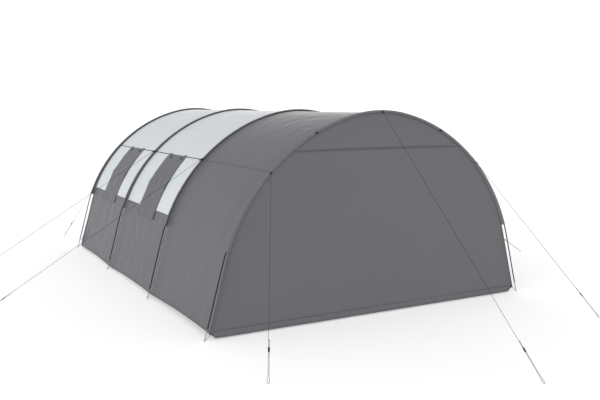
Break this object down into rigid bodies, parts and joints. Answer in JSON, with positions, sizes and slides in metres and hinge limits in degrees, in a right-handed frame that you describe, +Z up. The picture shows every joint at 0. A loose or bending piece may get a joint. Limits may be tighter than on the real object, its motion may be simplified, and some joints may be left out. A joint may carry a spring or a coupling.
{
  "type": "tunnel tent",
  "caption": "Large tunnel tent on bent hoop poles, with a closed end wall, a zipped door at the other end, curtained side windows and guy ropes.",
  "frame": {"origin": "on the ground under the middle of the tent body, without its guy ropes", "axes": "+X to the right seen from the closed front gable, +Y along the tent from the front gable to the rear gable, +Z up"},
  "size_m": [7.5634, 9.7436, 2.1208],
  "materials": {
    "dark_fabric": "matt coated polyester, plain weave",
    "light_fabric": "matt coated polyester, plain weave",
    "sleeve_fabric": "matt polyester",
    "pole_tube": "satin fibreglass",
    "pin_metal": "zinc plated",
    "elastic": "braided cover",
    "zip_tape": "woven tape with a nylon coil",
    "zip_metal": "satin black",
    "window_mesh": "fine black insect mesh",
    "toggle_plastic": "matt",
    "guy_webbing": "woven webbing and a moulded ring",
    "strap_webbing": "woven webbing",
    "rope": "braided cord",
    "slider_plastic": "matt"
  },
  "bodies": {
    "tent": {"front_hoop_pole": "pole_tube", "second_hoop_pole": "pole_tube", "third_hoop_pole": "pole_tube", "rear_hoop_pole": "pole_tube", "pole_spigots": "pin_metal", "pole_end_tips": "pin_metal", "shock_cords": "elastic", "front_pole_sleeve": "sleeve_fabric", "second_pole_sleeve": "sleeve_fabric", "third_pole_sleeve": "sleeve_fabric", "rear_pole_sleeve": "sleeve_fabric", "front_bay_roof": "dark_fabric", "front_bay_wall_left": "dark_fabric", "front_bay_wall_right": "dark_fabric", "middle_bay_roof": "light_fabric", "middle_bay_wall_left": "dark_fabric", "middle_bay_wall_right": "dark_fabric", "rear_bay_roof": "light_fabric", "rear_bay_wall_left": "dark_fabric", "rear_bay_wall_right": "dark_fabric", "front_end_wall": "dark_fabric", "rear_end_wall": "dark_fabric", "mud_flaps": "dark_fabric", "window_panes": "window_mesh", "guy_points": "guy_webbing", "foot_straps": "strap_webbing", "foot_links": "pin_metal", "guy_rope_front_apex": "rope", "guy_rope_front_left": "rope", "guy_rope_front_right": "rope", "guy_rope_second_left": "rope", "guy_rope_second_right": "rope", "guy_rope_third_left": "rope", "guy_rope_third_right": "rope", "guy_rope_rear_left": "rope", "guy_rope_rear_right": "rope", "guy_rope_rear_apex": "rope"},
    "curtain_middle_left": {"curtain_middle_left": "dark_fabric", "toggles_middle_left": "toggle_plastic"},
    "curtain_middle_right": {"curtain_middle_right": "dark_fabric", "toggles_middle_right": "toggle_plastic"},
    "curtain_rear_left": {"curtain_rear_left": "dark_fabric", "toggles_rear_left": "toggle_plastic"},
    "curtain_rear_right": {"curtain_rear_right": "dark_fabric", "toggles_rear_right": "toggle_plastic"},
    "door_left": {"door_flap_left": "dark_fabric", "zip_tape_left": "zip_tape"},
    "door_right": {"door_flap_right": "dark_fabric", "zip_tape_right": "zip_tape"},
    "zip_slider": {"zip_slider": "zip_metal"},
    "guy_slider_front_apex": {"guy_slider_front_apex": "slider_plastic"},
    "guy_slider_front_left": {"guy_slider_front_left": "slider_plastic"},
    "guy_slider_front_right": {"guy_slider_front_right": "slider_plastic"},
    "guy_slider_second_left": {"guy_slider_second_left": "slider_plastic"},
    "guy_slider_second_right": {"guy_slider_second_right": "slider_plastic"},
    "guy_slider_third_left": {"guy_slider_third_left": "slider_plastic"},
    "guy_slider_third_right": {"guy_slider_third_right": "slider_plastic"},
    "guy_slider_rear_left": {"guy_slider_rear_left": "slider_plastic"},
    "guy_slider_rear_right": {"guy_slider_rear_right": "slider_plastic"},
    "guy_slider_rear_apex": {"guy_slider_rear_apex": "slider_plastic"}
  },
  "joints": [
    {"name": "curtain_middle_left_hinge", "type": "hinge", "parent": "tent", "child": "curtain_middle_left", "pos_m": [-1.23623, 0, 1.54949], "axis": [0, 1, 0], "range_deg": [0, 150]},
    {"name": "curtain_middle_right_hinge", "type": "hinge", "parent": "tent", "child": "curtain_middle_right", "pos_m": [1.23623, 0, 1.54949], "axis": [0, -1, 0], "range_deg": [0, 150]},
    {"name": "curtain_rear_left_hinge", "type": "hinge", "parent": "tent", "child": "curtain_rear_left", "pos_m": [-1.23623, 1.74, 1.54949], "axis": [0, 1, 0], "range_deg": [0, 150]},
    {"name": "curtain_rear_right_hinge", "type": "hinge", "parent": "tent", "child": "curtain_rear_right", "pos_m": [1.23623, 1.74, 1.54949], "axis": [0, -1, 0], "range_deg": [0, 150]},
    {"name": "door_left_hinge", "type": "hinge", "parent": "tent", "child": "door_left", "pos_m": [-0.598, 2.59, 0.905], "axis": [0, 0, 1], "range_deg": [0, 150]},
    {"name": "door_right_hinge", "type": "hinge", "parent": "tent", "child": "door_right", "pos_m": [0.598, 2.59, 0.905], "axis": [0, 0, -1], "range_deg": [0, 150]},
    {"name": "zip_slide", "type": "slide", "parent": "door_right", "child": "zip_slider", "axis": [0, 0, 1], "range_m": [0, 1.62]},
    {"name": "guy_slider_front_apex_slide", "type": "slide", "parent": "tent", "child": "guy_slider_front_apex", "axis": [0, 0.7292, 0.6843], "range_m": [-0.18, 0.05]},
    {"name": "guy_slider_front_left_slide", "type": "slide", "parent": "tent", "child": "guy_slider_front_left", "axis": [0.3104, 0.583, 0.7508], "range_m": [-0.18, 0.05]},
    {"name": "guy_slider_front_right_slide", "type": "slide", "parent": "tent", "child": "guy_slider_front_right", "axis": [-0.3104, 0.583, 0.7508], "range_m": [-0.18, 0.05]},
    {"name": "guy_slider_second_left_slide", "type": "slide", "parent": "tent", "child": "guy_slider_second_left", "axis": [0.8498, 0, 0.5271], "range_m": [-0.18, 0.05]},
    {"name": "guy_slider_second_right_slide", "type": "slide", "parent": "tent", "child": "guy_slider_second_right", "axis": [-0.8498, 0, 0.5271], "range_m": [-0.18, 0.05]},
    {"name": "guy_slider_third_left_slide", "type": "slide", "parent": "tent", "child": "guy_slider_third_left", "axis": [0.8498, 0, 0.5271], "range_m": [-0.18, 0.05]},
    {"name": "guy_slider_third_right_slide", "type": "slide", "parent": "tent", "child": "guy_slider_third_right", "axis": [-0.8498, 0, 0.5271], "range_m": [-0.18, 0.05]},
    {"name": "guy_slider_rear_left_slide", "type": "slide", "parent": "tent", "child": "guy_slider_rear_left", "axis": [0.3104, -0.583, 0.7508], "range_m": [-0.18, 0.05]},
    {"name": "guy_slider_rear_right_slide", "type": "slide", "parent": "tent", "child": "guy_slider_rear_right", "axis": [-0.3104, -0.583, 0.7508], "range_m": [-0.18, 0.05]},
    {"name": "guy_slider_rear_apex_slide", "type": "slide", "parent": "tent", "child": "guy_slider_rear_apex", "axis": [0, -0.7292, 0.6843], "range_m": [-0.18, 0.05]}
  ]
}
